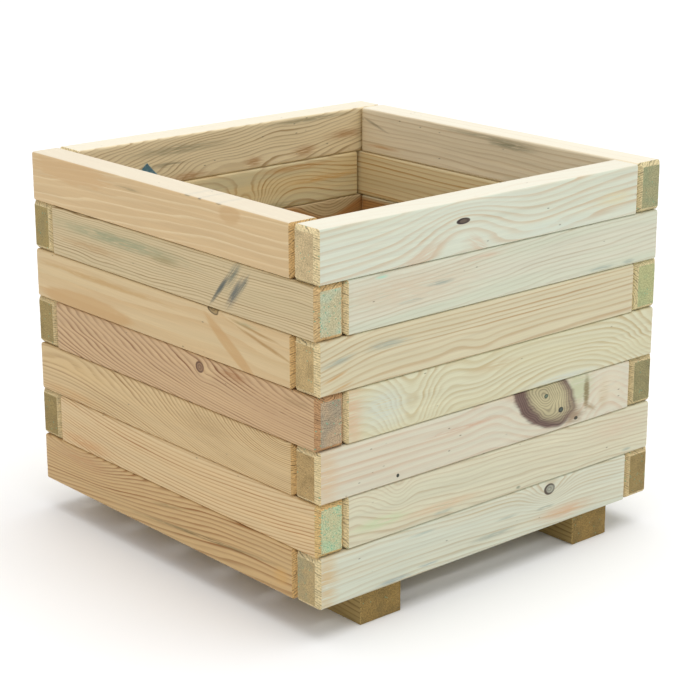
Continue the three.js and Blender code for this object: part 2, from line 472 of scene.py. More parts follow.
def sawn_wood(place, radius, cut, look, seed):
    """The colour and height of fuzzy end grain, and of a chamfer's torn strokes."""
    tree = place.tree
    fine_rings = radius / FINE_RING + cloud(place, (90, 9, 9), seed + 77) * 1.4
    fine = ring_lines(fine_rings, (0.3, 0.75)) * ring_strength(fine_rings, 0.2, 0.9)
    grit = cloud(place, (5, 1.7, 1.7), seed + 80, detail=5.0)
    fuzz = cloud(place, (8, 3.0, 3.0), seed + 84, detail=3.0)
    blotch = ramp(cloud(place, (60, 22, 22), seed + 88), -0.1, 0.15)
    sawn = mixed(tree, linear(look.end), linear(look.end_tinge), blotch)
    sawn = brightened(tree, sawn, 1.04 + grit * 1.7 + fuzz * 0.3 - fine * look.end_lines)
    torn = mixed(tree, linear(look.torn), sawn, 0.25)
    torn = brightened(tree, torn, 1.12 + grit * 1.0 - (fine + fuzz) * 0.6)
    copper = dots(place, (5, 3.6, 3.6), seed + 91, look.copper, 0.3)
    colour = mixed(tree, torn, sawn, ramp(cut, 0.6, 0.9))
    colour = mixed(tree, colour, linear(COPPER_GREEN), copper * 0.7)
    return colour, grit * 0.8 - fine * 0.3


def pine(name, look, seed):
    """Pine cut from one solid: the rings agree on every face of the board."""
    material = new_material(name)
    tree = material.node_tree
    place = attribute(tree, "grain", "Vector")
    cut = attribute(tree, "cut", "Fac")
    radius = pith_distance(place, look, seed)
    colour, height, streak = planed_wood(place, radius, look, seed)
    cut_colour, cut_height = sawn_wood(place, radius, cut, look, seed)
    is_cut = ramp(cut, 0.1, 0.4)
    colour = mixed(tree, colour, cut_colour, is_cut)
    finish_material(tree, colour, 0.52 + streak * 0.2 + is_cut * 0.3, height + is_cut * cut_height)
    return material


# ---- other materials ----
def zinc_steel():
    material = new_material("zinc_steel")
    tree = material.node_tree
    place = object_place(tree)
    spangle = cloud(place, (0.003, 0.003, 0.003), 1.0, detail=3.0)
    dull = cloud(place, (0.012, 0.012, 0.012), 4.0, detail=2.0)
    colour = mixed(tree, linear((196, 198, 200)), linear((150, 152, 150)), ramp(dull, -0.1, 0.2))
    colour = brightened(tree, colour, 1.0 + spangle * 0.25)
    shader = finish_material(tree, colour, 0.34 + spangle * 0.25 + dull * 0.2, spangle * 0.03, 0.5)
    shader.inputs["Metallic"].default_value = 1.0
    return material


def blue_plastic():
    material = new_material("blue_plastic")
    tree = material.node_tree
    place = object_place(tree)
    dust = cloud(place, (0.006, 0.006, 0.006), 2.0, detail=4.0)
    scratch = cloud(place, (0.001, 0.001, 0.02), 6.0, detail=2.0)
    colour = mixed(tree, linear((84, 128, 146)), linear((132, 162, 170)), ramp(dust, -0.1, 0.25))
    colour = brightened(tree, colour, 1.0 + scratch * 0.2)
    finish_material(tree, colour, 0.42 + dust * 0.3, scratch * 0.05, 0.5)
    return material


# ---- timber meshes ----
def rounded_outline(half_out, half_up, radius, steps_out, steps_up):
    """Points (out, up) round a rectangle with round corners, counter-clockwise."""
    points = []
    signs = [(1, 1), (-1, 1), (-1, -1), (1, -1)]
    for corner, (side, level) in enumerate(signs):
        centre_out = side * (half_out - radius)
        centre_up = level * (half_up - radius)
        for step in range(ARC_STEPS + 1):
            angle = math.pi / 2 * (corner + step / ARC_STEPS)
            points.append((centre_out + radius * math.cos(angle), centre_up + radius * math.sin(angle)))
        next_side, next_level = signs[(corner + 1) % 4]
        steps = steps_out if corner % 2 == 0 else steps_up
        end_angle = math.pi / 2 * (corner + 1)
        start = points[-1]
        end = (
            next_side * (half_out - radius) + radius * math.cos(end_angle),
            next_level * (half_up - radius) + radius * math.sin(end_angle),
        )
        for step in range(1, steps):
            share = step / steps
            points.append((start[0] + (end[0] - start[0]) * share, start[1] + (end[1] - start[1]) * share))
    return points


def stations(length, chamfer):
    """(place along, inset of the outline, cut) from one end of the timber to the other."""
    half = length / 2
    left = [
        (-half + depth * chamfer, inset * chamfer, CHAMFER_CUT) for depth, inset in CHAMFER_PROFILE
    ]
    right = [(-along, inset, cut) for along, inset, cut in reversed(left)]
    start = half - CHAMFER_REACH * chamfer
    count = max(2, round(2 * start / STATION_STEP))
    middle = [(start * (2 * index / count - 1), 0.0, 0.0) for index in range(count + 1)]
    middle[0] = (-start, 0.0, CHAMFER_CUT)
    middle[-1] = (start, 0.0, CHAMFER_CUT)
    return left + middle + right


def torn_place(along, up, out, size, torn, bow, offset):
    """A point of a timber moved inwards where saw and plane tore it, and out by its bow."""
    length, height, depth = size
    rough = noise.noise(Vector((along * 0.5, up * 0.55, out * 0.55)) + offset)
    chip = max(0.0, noise.noise(Vector((along * 0.2, up * 0.25, out * 0.25)) + offset) - CHIP_LEVEL)
    inward = torn * (TORN_DEPTH * rough + CHIP_DEPTH * chip)
    side = 1 if along > 0 else -1
    place_along = along - side * inward * 0.7
    place_up = up * (1 - inward / height)
    place_out = out * (1 - inward / depth)
    place_out += bow * (1 - (2 * along / length) ** 2)
    return place_along, place_up, place_out


def join_loops(mesh, near, far):
    """A ring of faces between two loops of vertices."""
    corners = zip(near, near[1:] + near[:1], far[1:] + far[:1], far)
    return [mesh.faces.new(four) for four in corners]


def shade_smooth(mesh, crease):
    """Smooth faces, with a hard edge wherever two meet at more than the crease angle."""
    for face in mesh.faces:
        face.smooth = True
    for edge in mesh.edges:
        first, second = edge.link_faces
        if first.normal.angle(second.normal, 0.0) > crease:
            edge.smooth = False


def mesh_data(name, mesh):
    """The working mesh as the data of a Blender object."""
    data = bpy.data.meshes.new(name)
    mesh.to_mesh(data)
    mesh.free()
    return data


def new_object(name, data):
    thing = bpy.data.objects.new(name, data)
    bpy.context.scene.collection.objects.link(thing)
    return thing


def timber_mesh(name, size, radius, chamfer, axes, centre, seed):
    """A planed timber as one closed mesh. size is (length, height, depth), in millimetres."""
    length, height, depth = size
    along_axis, up_axis, out_axis = axes
    steps_out = max(3, round(depth / FACE_STEP))
    steps_up = max(3, round(height / FACE_STEP))
    bow = random.Random(seed).uniform(-BOW_DEPTH, BOW_DEPTH)
    offset = Vector((seed * 13.7, seed * 5.1, seed * 9.3))
    mesh = bmesh.new()
    cut_layer = mesh.faces.layers.float.new("cut")

    def loop_of(points, along, torn, share=1.0):
        loop = []
        for out, up in points:
            moved = torn_place(along, up * share, out * share, size, torn, bow, offset)
            place = along_axis * moved[0] + up_axis * moved[1] + out_axis * moved[2]
            loop.append(mesh.verts.new(centre + place * MM))
        return loop

    def skin(near, far, cut):
        for face in join_loops(mesh, near, far):
            face[cut_layer] = cut

    rows = []
    for along, inset, cut in stations(length, chamfer):
        corner = radius + (SHARP_RADIUS - radius) * min(1.0, inset / chamfer)
        points = rounded_outline(depth / 2 - inset, height / 2 - inset, corner, steps_out, steps_up)
        rows.append((points, loop_of(points, along, 1.0 if inset > 0 else 0.0), cut))

    for (_, near, near_cut), (_, far, far_cut) in zip(rows, rows[1:]):
        skin(near, far, CHAMFER_CUT if min(near_cut, far_cut) > 0 else 0.0)
    for (points, outer, _), side in ((rows[0], -1), (rows[-1], 1)):
        for share in END_RINGS:
            ring = loop_of(points, side * length / 2, END_TORN, share)
            skin(outer, ring, END_CUT)
            outer = ring
        mesh.faces.new(outer)[cut_layer] = END_CUT

    bmesh.ops.recalc_face_normals(mesh, faces=mesh.faces)
    shade_smooth(mesh, TIMBER_CREASE)
    return mesh_data(name, mesh)


def bore_cutter(place, radius, top, bottom):
    """A cylinder that reaches from below the timber up to the top of the hole."""
    mesh = bmesh.new()
    cut_layer = mesh.faces.layers.float.new("cut")
    height = top - bottom + radius
    middle = Matrix.Translation((place.x, place.y, top - height / 2))
    bmesh.ops.create_cone(
        mesh, cap_ends=True, segments=BORE_SIDES, radius1=radius, radius2=radius, depth=height, matrix=middle
    )
    for face in mesh.faces:
        face[cut_layer] = END_CUT
    return new_object("bore", mesh_data("bore", mesh))


def bored(data, screws):
    """The timber's mesh with a counterbore cut up into its underside for each screw's head."""
    timber = new_object("timber", data)
    bottom = min(vertex.co.z for vertex in data.vertices)
    cutters = []
    for screw in screws:
        low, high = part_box(screw)
        radius = (high.x - low.x) / 2 + BORE_GAP * MM
        cutter = bore_cutter((low + high) / 2, radius, low.z + HEAD_HEIGHT * MM, bottom)
        modifier = timber.modifiers.new("bore", "BOOLEAN")
        modifier.object = cutter
        cutters.append(cutter)
    bpy.context.view_layer.update()
    graph = bpy.context.evaluated_depsgraph_get()
    result = bpy.data.meshes.new_from_object(timber.evaluated_get(graph))
    for helper in [timber, *cutters]:
        bpy.data.objects.remove(helper)
    return result


def add_grain(data, axes, centre):
    """Each vertex's place in its board, which the pine material reads."""
    grain = data.attributes.new("grain", "FLOAT_VECTOR", "POINT")
    for vertex, value in zip(data.vertices, grain.data):
        place = (vertex.co - centre) / MM
        value.vector = [place.dot(axis) for axis in axes]


def add_piece(name, data, material, node):
    data.materials.append(material)
    piece = new_object(name, data)
    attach(piece, "root")
    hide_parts(node)
    return piece


def add_timber(node, axes, radius, chamfer, material, seed, screws=()):
    low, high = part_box(node)
    centre = (low + high) / 2
    size = [abs((high - low).dot(axis)) / MM for axis in axes]
    data = timber_mesh(node + "_timber", size, radius, chamfer, axes, centre, seed)
    if screws:
        data = bored(data, screws)
    add_grain(data, axes, centre)
    add_piece(node + "_timber", data, material, node)


# ---- screws, tag and staple ----
def lobed(radius):
    """A six-lobed drive's outline."""
    return lambda angle: radius * (0.84 + 0.16 * math.cos(6 * angle))


def threaded(along, radius):
    """A screw thread's outline at one place along it."""
    def outline(angle):
        phase = (along / THREAD_PITCH - angle / (2 * math.pi)) % 1
        ridge = max(0.0, 1 - abs(phase - 0.5) * 5)
        return radius * (0.68 + 0.32 * ridge)
    return outline


def screw_rings(length, head, shank):
    """(place along, outline) of a countersunk wood screw, from its drive to its tip."""
    drive = lobed(0.46 * head)
    rings = [
        (DRIVE_DEPTH, drive),
        (0.0, drive),
        (0.0, lambda angle: 0.94 * head),
        (0.4, lambda angle: head),
        (0.9, lambda angle: head),
        (HEAD_HEIGHT, lambda angle: 1.02 * shank),
        (0.35 * length, lambda angle: 0.8 * shank),
    ]
    step = THREAD_PITCH / 6
    start = 0.36 * length
    for index in range(int((length - start) / step)):
        along = start + index * step
        taper = min(1.0, (length - along) / TIP_LENGTH)
        rings.append((along, threaded(along, shank * taper)))
    return rings


def screw_mesh(name, node, shank):
    low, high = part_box(node)
    middle = (low + high) / 2
    mesh = bmesh.new()
    angles = [2 * math.pi * index / SCREW_SIDES for index in range(SCREW_SIDES)]

    def point(along, radius, angle):
        offset = Vector((radius * math.cos(angle), radius * math.sin(angle), along)) * MM
        return mesh.verts.new(Vector((middle.x, middle.y, low.z)) + offset)

    length = (high.z - low.z) / MM
    head = (high.x - low.x) / 2 / MM
    loops = [
        [point(along, outline(angle), angle) for angle in angles]
        for along, outline in screw_rings(length, head, shank)
    ]
    mesh.faces.new(loops[0])
    for near, far in zip(loops, loops[1:]):
        join_loops(mesh, near, far)
    tip = point(length, 0, 0)
    last = loops[-1]
    for first, second in zip(last, last[1:] + last[:1]):
        mesh.faces.new((first, second, tip))
    bmesh.ops.recalc_face_normals(mesh, faces=mesh.faces)
    shade_smooth(mesh, SCREW_CREASE)
    return mesh_data(name, mesh)


def add_screws(steel):
    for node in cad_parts:
        if "screw" in node:
            shank = CORNER_SHANK if node.startswith("corner") else RUNNER_SHANK
            data = screw_mesh(node + "_thread", node, shank)
            add_piece(node + "_thread", data, steel, node)


def add_tag(plastic):
    """A square tag with a raised rim, its corners curling a little off the wall."""
    low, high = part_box("blue_tag")
    middle = (low + high) / 2
    half_span = (high.x - low.x) / 2 / MM
    half_side = half_span / (math.cos(TAG_TILT) + math.sin(TAG_TILT))
    mesh = bmesh.new()
    bmesh.ops.create_grid(mesh, x_segments=TAG_CELLS, y_segments=TAG_CELLS, size=half_side)
    for vertex in mesh.verts:
        across, upward = vertex.co.x, vertex.co.y
        reach = max(abs(across), abs(upward)) / half_side
        corner = abs(across * upward) / half_side ** 2
        rim = min(1.0, max(0.0, reach - TAG_RIM_START) * 14)
        off_wall = TAG_CURL * corner ** 2 + TAG_RIM * rim
        turned_across = across * math.cos(TAG_TILT) - upward * math.sin(TAG_TILT)
        turned_up = across * math.sin(TAG_TILT) + upward * math.cos(TAG_TILT)
        vertex.co = middle + Vector((turned_across, -off_wall, turned_up)) * MM
    for face in mesh.faces:
        face.smooth = True
    data = mesh_data("blue_tag_sheet", mesh)
    piece = add_piece("blue_tag_sheet", data, plastic, "blue_tag")
    solid = piece.modifiers.new("thickness", "SOLIDIFY")
    solid.thickness = TAG_THICKNESS * MM
    solid.offset = 0
    edge = piece.modifiers.new("soft_edge", "BEVEL")
    edge.width = TAG_EDGE * MM
    edge.segments = 2


def add_staple(steel):
    """A wire staple: a crown across the tag and two legs through it into the wall."""
    low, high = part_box("tag_staple")
    middle = (low + high) / 2
    radius = (high.z - low.z) / 2
    half = (high.x - low.x) / 2 - radius
    bend = STAPLE_BEND * MM
    path = []
    for side in (-1, 1):
        arc = [math.pi / 2 * step / STAPLE_BEND_STEPS for step in range(STAPLE_BEND_STEPS + 1)]
        turn = [
            (side * (half - bend + bend * math.cos(angle)), bend - bend * math.sin(angle))
            for angle in arc
        ]
        leg = [(side * half, STAPLE_LEG * MM)] + turn
        path += leg if side < 0 else leg[::-1]
    curve = bpy.data.curves.new("tag_staple_wire", "CURVE")
    curve.dimensions = "3D"
    curve.bevel_depth = radius
    curve.bevel_resolution = 3
    curve.use_fill_caps = True
    spline = curve.splines.new("POLY")
    spline.points.add(len(path) - 1)
    for point, (across, inward) in zip(spline.points, path):
        point.co = (middle.x + across, middle.y + inward, middle.z, 1)
    add_piece("tag_staple_wire", curve, steel, "tag_staple")


# ---- how each board looks ----
PINK = (204, 178, 150)
PALE_GREEN = (198, 208, 184)
BLUE_GREY = (150, 162, 150)
GREY_GREEN = (140, 146, 112)
AMBER = (190, 150, 96)
RUST = (176, 122, 66)
WARM_TORN = (196, 156, 100)

LOOKS = {
    "front_board_1": Look(
        early=(208, 212, 192), late=(196, 174, 142), contrast=0.8, spacing=7.5, top_highlight=0.8,
        pith_left=(-118, -60), pith_right=(-80, -60), line=(0.3, 0.85),
        bends=(Bend(-47, -4, (75, 38), 36), Bend(90, 0, (80, 60), -9)),
        knots=(Knot(-47, 8, 12, 4, colour=(92, 78, 66), rim=(60, 46, 44), part=0.9),),
        stains=(
            Stain(-120, -28, 60, 14, PINK, 0.7, lean=0.35),
            Stain(-20, -26, 22, 14, PINK, 0.7, lean=-0.5),
            Stain(240, -5, 45, 12, (214, 204, 164), 0.7),
            Stain(120, -25, 90, 14, (206, 214, 198), 0.8),
        ),
        tinge=(212, 216, 200), specks=0.14, end=(198, 176, 134), end_tinge=(186, 166, 126), end_lines=0.04,
    ),
    "front_board_2": Look(
        early=(208, 207, 186), late=(180, 166, 138), contrast=0.75, spacing=5.0,
        pith_left=(-130, -50), pith_right=(-96, -50), wander=14,
        stains=(
            Stain(-190, 6, 170, 30, (206, 186, 158), 0.65),
            Stain(-60, 26, 50, 5, (205, 176, 148), 0.7),
            Stain(-130, 5, 28, 4, BLUE_GREY, 0.8),
            Stain(-180, -10, 26, 3, BLUE_GREY),
            Stain(170, -29, 30, 4, BLUE_GREY, 0.7),
            Stain(228, -29, 16, 4, BLUE_GREY, 0.7),
            Stain(-230, 30, 14, 3, (150, 214, 190), 0.7),
        ),
        tinge=PALE_GREEN, tinge_share=0.45,
    ),
    "front_board_3": Look(
        early=(207, 198, 166), late=(174, 142, 100), contrast=0.85, spacing=5.0,
        pith_left=(-48, -24), pith_right=(-44, -24), wander=7, line=(0.4, 0.8),
        bends=(Bend(-310, 0, (80, 90), -20), Bend(-55, -18, (30, 18), 4), Bend(-10, -20, (25, 18), -4)),
        stains=(
            Stain(-175, 12, 45, 7, BLUE_GREY, 0.7),
            Stain(-255, 6, 35, 6, BLUE_GREY, 0.7, lean=0.15),
            Stain(-262, -14, 30, 2.5, AMBER, 0.9, lean=0.25),
            Stain(-250, -28, 28, 2.5, AMBER, 0.8, lean=0.2),
        ),
        tinge=(202, 192, 158), end=(186, 160, 112), end_tinge=(170, 146, 100), end_lines=0.12,
    ),
    "front_board_4": Look(
        early=(209, 206, 176), late=(184, 166, 124), contrast=0.8, spacing=9.0,
        pith_left=(-80, -18), pith_right=(-92, -18), wander=16, line=(0.2, 0.8),
        bends=(
            Bend(-178, -40, (46, 90), -80),
            Bend(112, -34, (105, 34), 40),
            Bend(300, -10, (70, 70), -60),
            Bend(-60, 10, (50, 40), -20),
        ),
        stains=(
            Stain(-278, 0, 24, 60, (206, 172, 138), 0.75),
            Stain(-225, 0, 50, 34, (200, 208, 196), 0.7),
            Stain(100, -30, 90, 6, (200, 208, 196), 0.8),
            Stain(-30, 14, 60, 8, (196, 176, 138), 0.7),
        ),
        tinge=(206, 200, 164), tinge_share=0.5,
    ),
    "front_board_5": Look(
        early=(208, 202, 180), late=(198, 170, 142), contrast=0.7, spacing=9.0,
        pith_left=(-120, -40), pith_right=(-120, -40), wander=6, line=(0.25, 0.85),
        bends=(Bend(20, 20, (45, 50), 14), Bend(240, -10, (40, 60), 30)),
        knots=(
            Knot(112, 19, 64, 44, -0.34, (176, 166, 130), (98, 74, 68), 0.4, (1.25, 1.3), 1.0),
            Knot(115, 20, 4, 3, colour=(96, 110, 90), rim=(80, 88, 70), part=0.0),
            Knot(-156, -26, 2.6, 2.6, colour=(60, 66, 56), rim=(50, 50, 40), part=0.0),
            Knot(145, -6, 5, 4, colour=(70, 80, 70), rim=(60, 56, 50), part=0.0),
            Knot(176, -25, 4, 2.6, colour=(66, 66, 52), rim=(60, 50, 40), part=0.0),
        ),
        stains=(
            Stain(178, 18, 32, 26, (188, 194, 156), 0.8, soft=0.8, ragged=2.4, solid=0.08),
            Stain(196, 8, 7, 28, (128, 114, 74), 0.9, soft=0.8, ragged=1.2, solid=0.1),
            Stain(204, -14, 16, 6, (150, 126, 88), 0.7, lean=-0.5),
            Stain(168, -18, 26, 16, (140, 116, 88), 0.8, solid=0.1),
            Stain(232, 0, 14, 28, (184, 164, 124), 0.6, ragged=0.8),
            Stain(245, 10, 45, 30, (216, 206, 180), 0.8),
            Stain(-40, 12, 90, 4, (200, 160, 132), 0.7),
            Stain(-275, 0, 26, 60, (206, 178, 140), 0.7),
        ),
        tinge=(206, 206, 186), specks=0.2, end=(174, 146, 98), end_tinge=(160, 134, 88), end_lines=0.2,
    ),
    "front_board_6": Look(
        early=(208, 203, 176), late=(176, 152, 118), contrast=0.65, spacing=5.2,
        pith_left=(-70, -30), pith_right=(-96, -40), wander=22, line=(0.4, 0.85),
        bends=(Bend(-200, 22, (22, 26), -16), Bend(-270, 14, (30, 26), 12), Bend(60, -30, (60, 30), 8)),
        stains=(
            Stain(-230, -12, 60, 10, (186, 204, 160), 0.7),
            Stain(-120, -18, 90, 8, (208, 182, 148), 0.8),
            Stain(220, 10, 70, 20, (206, 186, 160)),
            Stain(-120, -27, 22, 3, BLUE_GREY, 0.7),
            Stain(240, -27, 12, 3, BLUE_GREY, 0.8),
            Stain(20, -29, 5, 2.5, (96, 110, 90), 0.9),
        ),
        tinge=(204, 206, 180),
    ),
    "front_board_7": Look(
        early=(207, 207, 186), late=(182, 162, 124), contrast=0.8, spacing=5.0,
        pith_left=(-72, -40), pith_right=(-104, -40), wander=12, line=(0.3, 0.85),
        bends=(Bend(-300, -20, (110, 60), -14),),
        knots=(
            Knot(128, 22, 11, 8, 0.0, (150, 150, 134), (84, 72, 60), 0.34, (1.6, 1.6), 0.6, 26, (40, 22)),
        ),
        stains=(
            Stain(160, -18, 70, 14, (206, 168, 132), 0.75),
            Stain(-275, 0, 24, 60, (200, 168, 116), 0.7),
            Stain(-160, -29, 36, 4, (136, 156, 158), 0.8),
            Stain(-100, -24, 24, 3, (150, 166, 164), 0.7),
            Stain(20, -16, 50, 5, BLUE_GREY, 0.7),
            Stain(45, 2, 24, 3, BLUE_GREY),
            Stain(120, -3, 20, 3, (140, 150, 136), 0.8),
            Stain(-110, 22, 30, 3, (160, 176, 166)),
        ),
        tinge=(204, 212, 196), tinge_share=0.5, end=(176, 154, 110), end_tinge=(160, 148, 112),
    ),
    "left_board_1": Look(
        early=(204, 175, 131), late=(224, 202, 160), contrast=0.7, spacing=8.0, top_highlight=0.7,
        pith_left=(-130, -70), pith_right=(-96, -70), wander=14, line=(0.6, 0.9),
        stains=(
            Stain(-190, 20, 90, 16, (200, 164, 116), 0.6, soft=0.3, solid=0.3),
            Stain(168, 24, 22, 12, (192, 156, 108), 0.55, soft=0.4, ragged=0.8, solid=0.3),
            Stain(-50, 20, 36, 3, (150, 134, 96), 0.7),
            Stain(80, 34, 8, 1.6, (120, 112, 84), 0.9),
            Stain(106, 34, 5, 1.6, (90, 84, 70), 0.9),
            Stain(145, 34, 7, 1.6, (90, 84, 70), 0.9),
        ),
        tinge=(206, 180, 136), specks=0.03, torn=WARM_TORN,
    ),
    "left_board_2": Look(
        early=(202, 182, 142), late=(142, 114, 70), contrast=0.95, spacing=3.1,
        pith_left=(-130, -60), pith_right=(-124, -60), wander=16,
        stains=(
            Stain(-120, 14, 190, 12, GREY_GREEN, 0.8),
            Stain(-190, -8, 100, 8, (172, 136, 88)),
            Stain(-20, 8, 40, 8, (150, 136, 92), 0.7),
            Stain(104, -2, 20, 7, (84, 90, 84), 0.95, lean=1.05, solid=0.1),
            Stain(128, 18, 19, 14, (104, 110, 96), 0.85, lean=1.0),
            Stain(132, -4, 21, 13, (88, 94, 90), 0.9, lean=1.1, solid=0.05),
            Stain(150, 10, 14, 8, (104, 108, 96), 0.85, lean=1.1),
            Stain(88, -20, 10, 4, (96, 98, 84), 0.9, lean=1.1, solid=0.1),
        ),
        tinge=(188, 172, 132), torn=WARM_TORN, end=(186, 178, 142), end_tinge=(180, 186, 156),
        end_lines=0.05, copper=0.16,
    ),
    "left_board_3": Look(
        early=(206, 181, 138), late=(190, 154, 104), contrast=0.5, spacing=17.0,
        pith_left=(-120, -70), pith_right=(-120, -70), wander=20, line=(0.2, 0.9),
        bends=(Bend(128, 30, (60, 34), 16), Bend(260, 20, (70, 60), -10)),
        knots=(Knot(128, 36, 14, 7, -0.3, (150, 126, 84), (110, 92, 60), part=0.8),),
        stains=(
            Stain(-160, -24, 108, 15, AMBER, 0.65, soft=0.3, ragged=0.35, solid=0.2),
            Stain(-120, 18, 170, 5, (188, 152, 98), 0.8, solid=0.1),
            Stain(165, -8, 52, 11, AMBER, 0.7, lean=-0.62, soft=0.4, ragged=0.5, solid=0.2),
            Stain(230, 12, 70, 3, (168, 132, 78), 0.9, lean=-0.22, solid=0.1),
            Stain(215, 24, 60, 2.5, (168, 132, 78), 0.9, lean=-0.12, solid=0.1),
            Stain(200, 28, 30, 4, GREY_GREEN, 0.5),
        ),
        tinge=(204, 182, 138), specks=0.12, torn=WARM_TORN,
    ),
    "left_board_4": Look(
        early=(200, 168, 126), late=(128, 84, 46), contrast=0.95, spacing=3.3,
        pith_left=(46, -84), pith_right=(46, 4), wander=7, line=(0.35, 0.85),
        knots=(Knot(54, 20, 9, 8, 0.0, (136, 104, 74), (108, 76, 50), 0.3, (2.6, 2.4), 0.9),),
        stains=(
            Stain(68, 16, 22, 14, (208, 178, 132), 0.7),
            Stain(125, 25, 38, 10, (160, 112, 66), 0.7),
            Stain(200, 0, 90, 40, (190, 156, 116), 0.75),
            Stain(250, 22, 36, 8, (160, 130, 90)),
        ),
        tinge=(186, 154, 116), torn=(176, 130, 84), end=(178, 156, 126), end_tinge=(160, 146, 122),
        end_lines=0.3, copper=0.1,
    ),
    "left_board_5": Look(
        early=(206, 179, 132), late=(150, 112, 64), contrast=1.05, spacing=2.5,
        pith_left=(44, -78), pith_right=(46, 32), swing=-34, wander=6, line=(0.3, 0.85),
        stains=(
            Stain(-190, 16, 110, 16, (206, 176, 126), 0.75),
            Stain(-210, -26, 90, 10, (196, 152, 98), 0.5),
            Stain(110, 12, 70, 20, (160, 132, 90), 0.4),
        ),
        tinge=(204, 178, 134), specks=0.05, torn=WARM_TORN,
    ),
    "left_board_6": Look(
        early=(212, 184, 138), late=(162, 112, 58), contrast=1.15, spacing=4.4,
        pith_left=(128, -40), pith_right=(124, -40), sag=-22, wander=6,
        bends=(Bend(-290, -30, (90, 40), 10),),
        stains=(Stain(-220, -22, 70, 12, (190, 140, 88), 0.6),),
        tinge=(208, 186, 144), torn=(204, 160, 96), end=(186, 184, 144), end_tinge=(172, 190, 152),
        end_lines=0.05, copper=0.5,
    ),
    "left_board_7": Look(
        early=(200, 168, 118), late=(146, 100, 50), contrast=1.1, spacing=5.0,
        pith_left=(-120, -50), pith_right=(-70, -50), wander=9, line=(0.3, 0.85),
        bends=(Bend(-190, 34, (95, 34), -26), Bend(150, 20, (120, 60), 8)),
        stains=(
            Stain(-190, 20, 90, 16, (184, 138, 92)),
            Stain(100, -9, 190, 3.4, (112, 96, 58), 0.85, lean=0.073),
            Stain(20, 12, 50, 4, (150, 130, 84), 0.7, lean=0.16),
            Stain(262, -10, 20, 16, (206, 160, 88)),
        ),
        tinge=(192, 166, 120), specks=0.05, torn=WARM_TORN,
    ),
    "back_board_1": Look(
        early=(242, 224, 184), late=(170, 136, 88), contrast=0.85, spacing=3.8, top_highlight=0.8,
        pith_left=(-40, 30), pith_right=(-96, 70), wander=26,
        bends=(Bend(60, -20, (60, 40), 24), Bend(-60, -10, (50, 40), 12)),
        stains=(
            Stain(90, -28, 46, 8, RUST, 0.7, ragged=2.4),
            Stain(-30, -24, 22, 10, RUST, 0.75, ragged=2.4),
            Stain(-130, -20, 30, 11, RUST, 0.75, ragged=2.4),
            Stain(-215, -4, 50, 10, RUST, 0.65),
            Stain(110, 14, 110, 9, (128, 124, 96)),
            Stain(-140, 28, 110, 5, (136, 132, 104)),
            Stain(130, -6, 40, 5, (110, 104, 78)),
        ),
        tinge=(234, 214, 172), specks=0.3,
    ),
    "back_board_2": Look(
        early=(234, 212, 162), late=(184, 134, 68), contrast=0.9, spacing=5.4,
        pith_left=(-96, 60), pith_right=(-84, 70), wander=10,
        bends=(Bend(-60, -26, (46, 40), -60), Bend(-160, -10, (70, 50), 22)),
        stains=(
            Stain(-220, 2, 90, 6, (214, 160, 80), 0.7),
            Stain(-160, 26, 90, 7, (196, 140, 74)),
            Stain(-100, -28, 90, 6, (140, 132, 100), 0.5),
        ),
        end=(158, 138, 88), end_tinge=(148, 132, 88),
    ),
    "back_board_3": Look(
        early=(206, 184, 142), late=(120, 76, 36), contrast=0.9, spacing=3.4,
        pith_left=(-20, -50), pith_right=(-30, -54), wander=12,
        bends=(Bend(-180, 10, (60, 50), -30),),
        # The wide heart darkens the inner face. This is partly orange heartwood and partly painted shade
        # inside the box.
        tinge=(196, 160, 112), tinge_share=0.2, heart=(188, 138, 84), heart_and_shade_radius=66.0,
    ),
    "right_board_1": Look(
        early=(240, 226, 196), late=(192, 160, 112), contrast=0.6, spacing=6.0, top_highlight=0.8,
        pith_left=(-110, 60), pith_right=(-104, 60), wander=12,
        stains=(
            Stain(-40, 22, 60, 7, (118, 120, 92), 0.7),
            Stain(-100, -26, 70, 5, (128, 128, 98)),
            Stain(10, 28, 120, 4, (140, 138, 108)),
            Stain(240, -22, 50, 4, (200, 150, 84), 0.7),
            Stain(255, 12, 36, 3, (120, 106, 80), 0.6, lean=0.3),
        ),
        tinge=(214, 200, 168), specks=0.25, end=(158, 154, 116), end_tinge=(148, 152, 116),
    ),
    "right_board_2": Look(
        early=(230, 212, 168), late=(190, 144, 80), contrast=0.95, spacing=6.4,
        pith_left=(-130, 60), pith_right=(-126, 60), wander=7,
        tinge=(212, 196, 152),
    ),
    "right_board_3": Look(
        early=(206, 196, 162), late=(130, 88, 46), contrast=0.8, spacing=4.0,
        pith_left=(-20, -50), pith_right=(-30, -54), wander=16,
        # The wide heart darkens the inner face. This is partly orange heartwood and partly painted shade
        # inside the box.
        tinge=(196, 164, 116), tinge_share=0.2, heart=(190, 144, 90), heart_and_shade_radius=66.0,
        end=(176, 176, 128), end_tinge=(164, 172, 126),
    ),
}

END_LOOKS = {
    "back_board_4": (156, 136, 88),
    "back_board_6": (152, 132, 84),
    "right_board_5": (146, 138, 98),
    "right_board_7": (148, 128, 82),
}
SIDE_COLOURS = {
    "front": ((209, 206, 184), (192, 172, 140)),
    "right": ((206, 204, 178), (186, 164, 126)),
    "back": ((208, 192, 154), (178, 146, 102)),
    "left": ((202, 176, 134), (164, 126, 82)),
}


def chance_knot(chance):
    size = chance.uniform(5, 13)
    return Knot(
        along=chance.uniform(-230, 230),
        up=chance.uniform(-26, 26),
        length=size * chance.uniform(1.0, 1.5),
        height=size,
        lean=chance.uniform(-0.3, 0.3),
        colour=chance.choice(((150, 114, 78), (132, 104, 76), (166, 128, 88))),
        rim=(104, 74, 52),
        rim_share=0.35,
        swell=chance.uniform(-14, 0),
    )


def chance_stain(chance):
    colour = chance.choice((PINK, PALE_GREEN, BLUE_GREY, AMBER))
    place = (chance.uniform(-250, 250), chance.uniform(-30, 30))
    return Stain(*place, chance.uniform(20, 90), chance.uniform(3, 12), colour, chance.uniform(0.4, 0.7))


